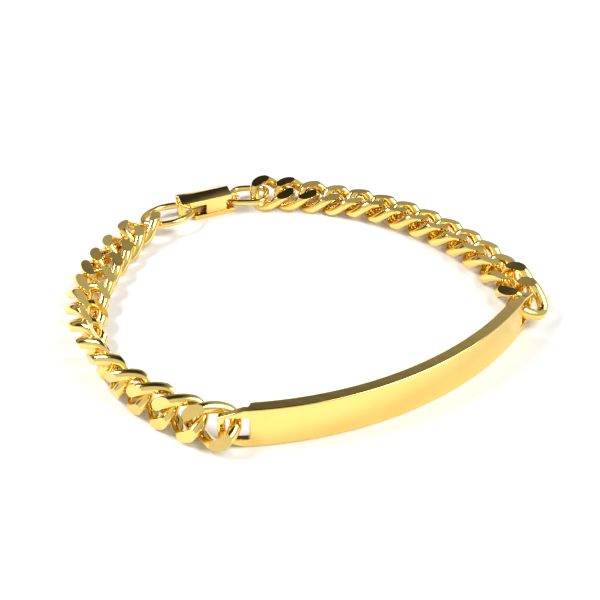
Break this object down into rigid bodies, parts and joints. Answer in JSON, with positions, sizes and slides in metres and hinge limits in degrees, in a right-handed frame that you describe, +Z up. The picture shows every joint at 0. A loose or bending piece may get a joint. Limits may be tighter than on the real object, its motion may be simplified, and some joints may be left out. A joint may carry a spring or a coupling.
{
  "type": "id bracelet",
  "caption": "Curb-link identity bracelet: a curved plain plate, two runs of flat-filed links and a folding box clasp, lying closed.",
  "frame": {"origin": "on the surface, below the middle of the bracelet's box", "axes": "+Z up, the plate at the front (-Y), the clasp at the back left (+Y, -X)"},
  "size_m": [0.0708, 0.0658, 0.0063],
  "materials": {
    "gold": "polished"
  },
  "bodies": {
    "bracelet": {"id_plate": "gold", "clasp_base": "gold", "clasp_ring": "gold", "clasp_loop": "gold", "link_01": "gold", "link_02": "gold", "link_03": "gold", "link_04": "gold", "link_05": "gold", "link_06": "gold", "link_07": "gold", "link_08": "gold", "link_09": "gold", "link_10": "gold", "link_11": "gold", "link_12": "gold", "link_13": "gold", "link_14": "gold", "link_15": "gold", "link_16": "gold", "link_17": "gold", "link_18": "gold", "link_19": "gold", "link_20": "gold", "link_21": "gold", "link_22": "gold", "link_23": "gold", "link_24": "gold", "link_25": "gold", "link_26": "gold", "link_27": "gold", "link_28": "gold"},
    "clasp_lid": {"clasp_lid": "gold"}
  },
  "joints": [
    {"name": "lid_hinge", "type": "hinge", "parent": "bracelet", "child": "clasp_lid", "pos_m": [-0.021, 0.02521, 0.0026], "axis": [0.4067, -0.9135, 0], "range_deg": [0, 90]}
  ]
}
